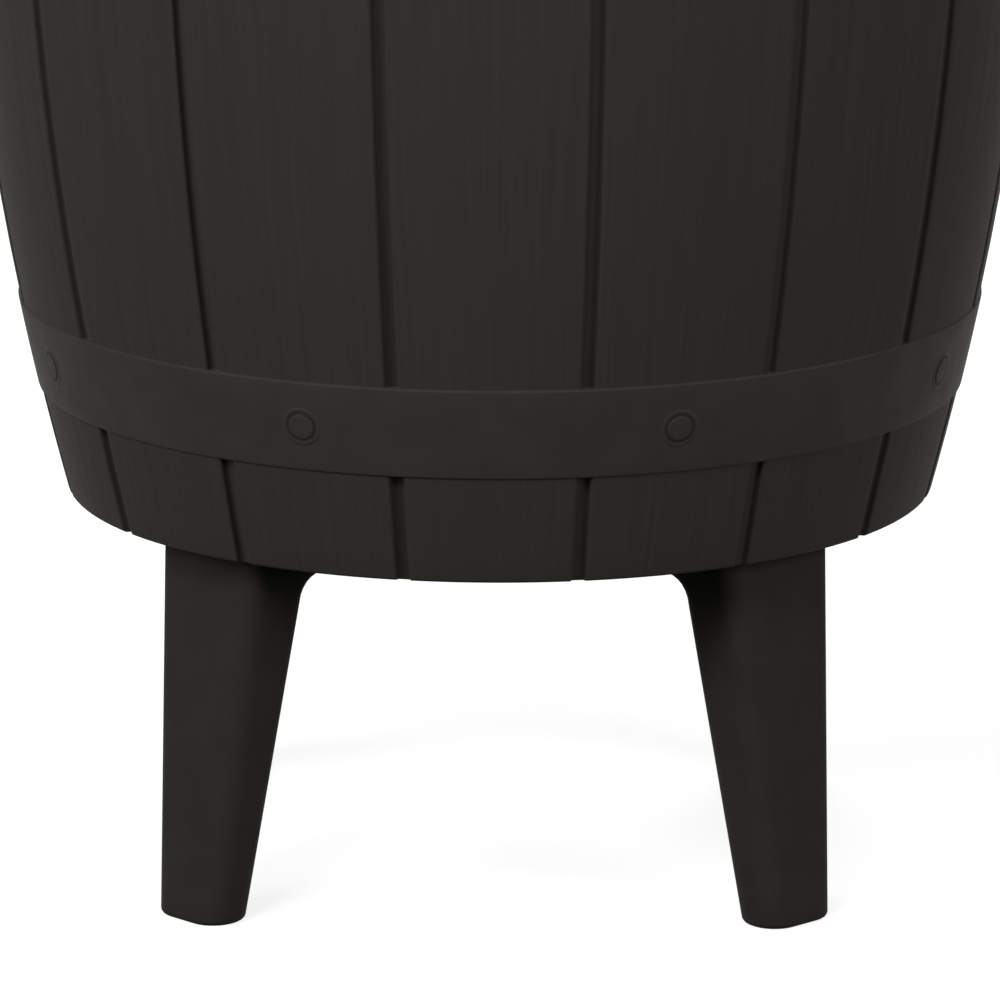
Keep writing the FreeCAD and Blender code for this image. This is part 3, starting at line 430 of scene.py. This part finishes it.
def drilled(piece, x, y, radius, low, high):
    """Round hole through a piece, cut upright by a cylinder that is then thrown away."""
    turn = np.linspace(0, 2 * math.pi, DRILL_SIDES, endpoint=False)
    ring = np.stack([x + radius * np.cos(turn), y + radius * np.sin(turn)], -1)
    rings = np.stack([np.concatenate([ring, np.full((DRILL_SIDES, 1), level)], 1)
                      for level in (low - DRILL_PAST, high + DRILL_PAST)])
    cutter = skin("cutter", rings, [piece.data.materials[-1]])
    cut = piece.modifiers.new("hole", "BOOLEAN")
    cut.object = cutter
    cut.solver = "EXACT"
    cut.operation = "DIFFERENCE"
    bpy.context.view_layer.update()
    evaluated = piece.evaluated_get(bpy.context.evaluated_depsgraph_get())
    whole = piece.data
    piece.data = bpy.data.meshes.new_from_object(evaluated)
    piece.data.name = whole.name
    piece.modifiers.clear()
    bpy.data.objects.remove(cutter)
    bpy.data.meshes.remove(whole)
    return piece


barrel_shell = drilled(
    make_barrel(), 0, DRAIN_BACK, DRAIN_HOLE_RADIUS, BARREL_BOTTOM, BARREL_BOTTOM + BARREL_FLOOR)
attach(barrel_shell, "barrel")
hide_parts("outer_barrel")


# Rivet heads on every second stave of both hoops: moulded with the hoops, each a low dome inside a
# ring-shaped groove in a flat raised seat. The groove's faces take the resin darkened to seven tenths:
# painted shade in the groove.
RIVETS = 8
RIVET_COLUMNS = 36
# The head's section: distance from its middle, and rise above the hoop's face.
RIVET_SECTION = [(0.6, 0.5), (2.2, 0.49), (4.0, 0.46), (4.8, 0.41), (5.2, 0.3), (5.4, 0.08), (5.6, 0.01),
                 (6.4, 0.01), (6.6, 0.08), (6.8, 0.13), (7.15, 0.13), (7.7, 0.06), (8.3, -0.02), (8.4, -0.6)]
# The groove's radii, and the resin darkened to seven tenths for its faces: painted shade in the groove.
RIVET_GROOVE = (5.2, 6.6)
PAINTED_GROOVE_SHADE_FACTOR = 0.7
PAINTED_GROOVE_SHADE_COLOUR = tuple(PAINTED_GROOVE_SHADE_FACTOR * part for part in RESIN_COLOUR[:3]) + (1,)
resin_painted_groove_shade = resin("resin_painted_groove_shade", colour=PAINTED_GROOVE_SHADE_COLOUR)


def rivet_rings(azimuth, height):
    """Dome's rings about the hoop's normal, each point set off from the hoop's own curved face."""
    reach, rise = np.array(RIVET_SECTION).T
    turn = np.linspace(0, 2 * math.pi, RIVET_COLUMNS, endpoint=False)
    side, up = reach[:, None] * np.cos(turn), reach[:, None] * np.sin(turn)
    lean = math.asin((WIDEST_HEIGHT - height) / BOW_RADIUS)
    seat = bow(height) + HOOP_PROUD
    out = rise[:, None] - side ** 2 / (2 * seat) - up ** 2 / (2 * BOW_RADIUS)
    radial = seat + out * math.cos(lean) + up * math.sin(lean)
    level = height - out * math.sin(lean) + up * math.cos(lean)
    x = radial * math.cos(azimuth) - side * math.sin(azimuth)
    y = radial * math.sin(azimuth) + side * math.cos(azimuth)
    return np.stack([x, y, level], -1)


def joined(name, shells, materials):
    """One piece made of several closed grids."""
    points, faces, first = [], [], 0
    for rings in shells:
        rows, columns, _ = rings.shape
        points += [rings.reshape(-1, 3), rings[:1].mean(1), rings[-1:].mean(1)]
        faces += skin_faces(rows, columns, first)
        first += rows * columns + 2
    return new_piece(name, np.concatenate(points), faces, materials)


rivet_heads = joined(
    "rivet_heads",
    [rivet_rings(2 * math.pi * (k + 0.5) / RIVETS, bottom + HOOP_WIDTH / 2)
     for bottom in HOOP_BOTTOMS for k in range(RIVETS)],
    [resin_smooth, resin_painted_groove_shade])
reach = np.array(RIVET_SECTION)[:, 0]
# Faces between the groove's radii take the darker resin: painted shade.
painted_shade_rows = (reach[:-1] >= RIVET_GROOVE[0]) & (reach[1:] <= RIVET_GROOVE[1])
one_head = np.concatenate([np.repeat(painted_shade_rows, RIVET_COLUMNS), np.zeros(2 * RIVET_COLUMNS, bool)]).astype(int)
rivet_heads.data.polygons.foreach_set("material_index", np.tile(one_head, RIVETS * len(HOOP_BOTTOMS)))
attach(rivet_heads, "barrel")


# Legs: four tapered mouldings on the diagonals, rounded along their edges and round the sole, and flared
# where they meet the barrel's floor. A tenon goes up into the floor's socket.
LEG_AZIMUTHS = {"leg_front_right": -45, "leg_rear_right": 45, "leg_rear_left": 135, "leg_front_left": 225}
# Each taper as two heights with the size there.
LEG_INNER = ((0, 156.6), (157, 132))
LEG_OUTER = ((0, 181.9), (157, 165.2))
LEG_HALF_WIDTH = ((0, 19.2), (157, 30.6))
LEG_CORNER = ((0, 12), (157, 8))
LEG_CORNER_STEPS = 8
SOLE_ROUND = 2.5
SOLE_TURNS = np.radians([0, 22, 45, 68, 90])
SHAFT_HEIGHTS = (12, 35, 60, 90, 115)
FLARE_BOTTOM = 132
FLARE_ROUND = 12
FLARE_TURNS = np.radians([0, 15, 30, 45, 60, 75, 86])
FLARE_LIP = 1.5
TENON_INNER, TENON_OUTER = 134.4, 162.4
TENON_HALF_WIDTH = 22
TENON_TOP = 195
TENON_CORNER = 1
TENON_STEP = 0.2


def at_height(height, ends):
    """Straight taper between two heights, carried on past them."""
    (low, first), (high, last) = ends
    return first + (height - low) * (last - first) / (high - low)


def rounded_box(inner, outer, half_width, corner):
    """Outline of a rectangle with round corners: a quarter circle at each corner."""
    turn = np.linspace(0, math.pi / 2, LEG_CORNER_STEPS)
    quarters = [(outer - corner, half_width - corner, 0), (inner + corner, half_width - corner, 1),
                (inner + corner, corner - half_width, 2), (outer - corner, corner - half_width, 3)]
    return np.concatenate([
        np.stack([x + corner * np.cos(turn + quarter * math.pi / 2),
                  y + corner * np.sin(turn + quarter * math.pi / 2)], -1)
        for x, y, quarter in quarters])


def leg_rings(azimuth):
    """Rounded boxes up the leg, turned to its azimuth.

    A quarter circle draws the sole in, the shaft tapers, and a quarter circle carries the inner face inwards
    at the flare. The last two boxes are the tenon.
    """
    levels = [(SOLE_ROUND * (1 - math.cos(turn)), SOLE_ROUND * (1 - math.sin(turn))) for turn in SOLE_TURNS]
    levels += [(height, 0) for height in SHAFT_HEIGHTS]
    levels += [(FLARE_BOTTOM + FLARE_ROUND * math.sin(turn), FLARE_ROUND * (math.cos(turn) - 1))
               for turn in FLARE_TURNS]
    levels += [(height, -FLARE_ROUND) for height in (FLARE_BOTTOM + FLARE_ROUND + FLARE_LIP, BARREL_BOTTOM)]
    outlines = []
    for height, inset in levels:
        shrink = max(inset, 0)
        outlines.append(rounded_box(
            at_height(min(height, FLARE_BOTTOM), LEG_INNER) + inset, at_height(height, LEG_OUTER) - shrink,
            at_height(height, LEG_HALF_WIDTH) - shrink, at_height(height, LEG_CORNER) - shrink))
    outlines += [rounded_box(TENON_INNER, TENON_OUTER, TENON_HALF_WIDTH, TENON_CORNER)] * 2
    heights = np.array([height for height, _ in levels] + [BARREL_BOTTOM + TENON_STEP, TENON_TOP])
    out, side = np.moveaxis(np.array(outlines), -1, 0)
    turn = math.radians(azimuth)
    return np.stack([
        out * math.cos(turn) - side * math.sin(turn), out * math.sin(turn) + side * math.cos(turn),
        np.broadcast_to(heights[:, None], out.shape)], -1)


for leg_name, azimuth in LEG_AZIMUTHS.items():
    leg = skin("moulded_" + leg_name, leg_rings(azimuth), [resin_legs_painted_shade])
    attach(leg, "barrel")
    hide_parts(leg_name)


# Table top: the lid's upper shell, a boarded field inside a raised round rim with a deep skirt, moulded in
# the same dark resin. The boards' gaps are grooves and stop at the rim.
TABLE_RADIUS = 247.5
TABLE_TOP = 570
TABLE_WALL = 3.5
TABLE_ROUND = 6
TABLE_COLUMNS = 224
SKIRT_BOTTOM = 527
SKIRT_EDGE_INNER, SKIRT_EDGE_OUTER = 0.8, 1
RIM_INNER = 233
RIM_INNER_ROUND = 2.5
RIM_TOE = 1.5
RIM_UNDER_ROUND = 1.2
FIELD_RADIUS = 229
FIELD_TOP = 567
FIELD_BOTTOM = FIELD_TOP - TABLE_WALL


def rounded_outline(corners, steps=5):
    """Closed outline with each corner (radius, height, round) replaced by an arc tangent to its two sides."""
    outline = []
    for index, (x, y, bend) in enumerate(corners):
        here = np.array([x, y], float)
        if not bend:
            outline.append(here)
            continue
        before = np.array(corners[index - 1][:2], float) - here
        after = np.array(corners[(index + 1) % len(corners)][:2], float) - here
        before, after = before / np.linalg.norm(before), after / np.linalg.norm(after)
        half = math.acos(np.clip(before @ after, -1, 1)) / 2
        centre = here + (before + after) / np.linalg.norm(before + after) * bend / math.sin(half)
        first = here + before * bend / math.tan(half) - centre
        last = here + after * bend / math.tan(half) - centre
        sweep = math.pi - 2 * half
        for part in np.linspace(0, 1, steps):
            turned = math.sin((1 - part) * sweep) * first + math.sin(part * sweep) * last
            outline.append(centre + turned / math.sin(sweep))
    return np.array(outline)


def spun(name, corners, materials, columns):
    """Ring-shaped solid: a closed outline carried round the table's axis."""
    outline = rounded_outline(corners)
    turn = np.linspace(0, 2 * math.pi, columns, endpoint=False)
    points = np.stack([outline[:, :1] * np.cos(turn), outline[:, :1] * np.sin(turn),
                       np.broadcast_to(outline[:, 1:], (len(outline), columns))], -1)
    rows = len(outline)
    here, there = np.arange(columns), (np.arange(columns) + 1) % columns
    row, following = np.arange(rows)[:, None] * columns, (np.arange(rows)[:, None] + 1) % rows * columns
    quads = np.stack([row + here, row + there, following + there, following + here], -1).reshape(-1, 4)
    return new_piece(name, points.reshape(-1, 3), [quads], materials)


table_rim = spun("table_rim", [
    (TABLE_RADIUS - TABLE_WALL, SKIRT_BOTTOM, SKIRT_EDGE_INNER),
    (TABLE_RADIUS, SKIRT_BOTTOM, SKIRT_EDGE_OUTER),
    (TABLE_RADIUS, TABLE_TOP, TABLE_ROUND), (RIM_INNER, TABLE_TOP, RIM_INNER_ROUND),
    (FIELD_RADIUS, FIELD_TOP - RIM_TOE, 0), (FIELD_RADIUS, FIELD_BOTTOM, 0),
    (TABLE_RADIUS - TABLE_WALL, FIELD_BOTTOM, RIM_UNDER_ROUND),
], [resin_smooth], TABLE_COLUMNS)
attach(table_rim, "table")

BOARD_WIDTH = 76
BOARD_GAPS = BOARD_WIDTH * (np.arange(6) - 2.5)
BOARD_GAP = 3
BOARD_GAP_DEPTH = 1.2
BOARD_GAP_SIDE = 0.8
BOARD_GAP_ROUND = 0.7
BOARD_GAP_COLUMNS = np.array([1.1, 1.3, 1.5, 1.7, 1.9, 2.4])
BOARD_OVERLAP = 0.4
BOARD_COLUMNS = 40
BOARD_LAST_TURN = 1.55
BOARD_ROWS = 25


def board_depth(x):
    """Depth of the gap grooves at x: a flat floor with rounded sides, one groove at each gap."""
    away = np.abs(x[:, None] - BOARD_GAPS).min(1)
    share = (BOARD_GAP / 2 + BOARD_GAP_SIDE / 2 - away) / BOARD_GAP_SIDE
    return BOARD_GAP_DEPTH * np.clip(share, 0, 1) ** BOARD_GAP_ROUND


def make_boards():
    """Round field between chords: its columns lie closer together at the gaps, and its underside is flat."""
    reach = FIELD_RADIUS + BOARD_OVERLAP
    beside = np.concatenate([-BOARD_GAP_COLUMNS, [0], BOARD_GAP_COLUMNS])
    evenly = reach * np.sin(np.linspace(-BOARD_LAST_TURN, BOARD_LAST_TURN, BOARD_COLUMNS))
    x = np.unique(np.concatenate([(BOARD_GAPS[:, None] + beside).reshape(-1), evenly]))
    y = np.sqrt(reach ** 2 - x ** 2)[:, None] * np.linspace(-1, 1, BOARD_ROWS)
    z = FIELD_TOP - board_depth(x)
    top = np.stack([np.broadcast_to(x[:, None], y.shape), y, np.broadcast_to(z[:, None], y.shape)], -1)
    under = top[:, ::-1].copy()
    under[..., 2] = FIELD_BOTTOM
    return skin("table_boards", np.concatenate([top, under], 1), [resin_boards])


table_boards = make_boards()
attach(table_boards, "table")
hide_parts("table_top")
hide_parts("table_top")


# The other nodes keep their CAD form and take a finish by what they are made of: resin, nylon, rubber,
# aluminium or stainless steel. The post is drawn, so its fine lines run along it.
FINISHES = {
    "liner_resin": resin("liner_resin", colour=(0.3, 0.3, 0.29, 1), roughness=0.45, specular=0.4),
    "black_nylon": resin("black_nylon", colour=(0.02, 0.02, 0.02, 1), roughness=0.5),
    "seal_rubber": resin("seal_rubber", colour=(0.015, 0.015, 0.015, 1), roughness=0.8),
    "post_metal": resin("post_metal", colour=(0.6, 0.6, 0.61, 1), roughness=0.34, metallic=1.0,
                        streak=(900, 900, 12), bump=0.15),
    "screw_steel": resin("screw_steel", colour=(0.5, 0.5, 0.5, 1), roughness=0.3, metallic=1.0),
    "dark_resin": resin_smooth,
}
for entry in frame["record"]["subparts"]:
    part = nodes[entry["node"]]
    part.data.materials.clear()
    part.data.materials.append(FINISHES[entry["material_slot"]])
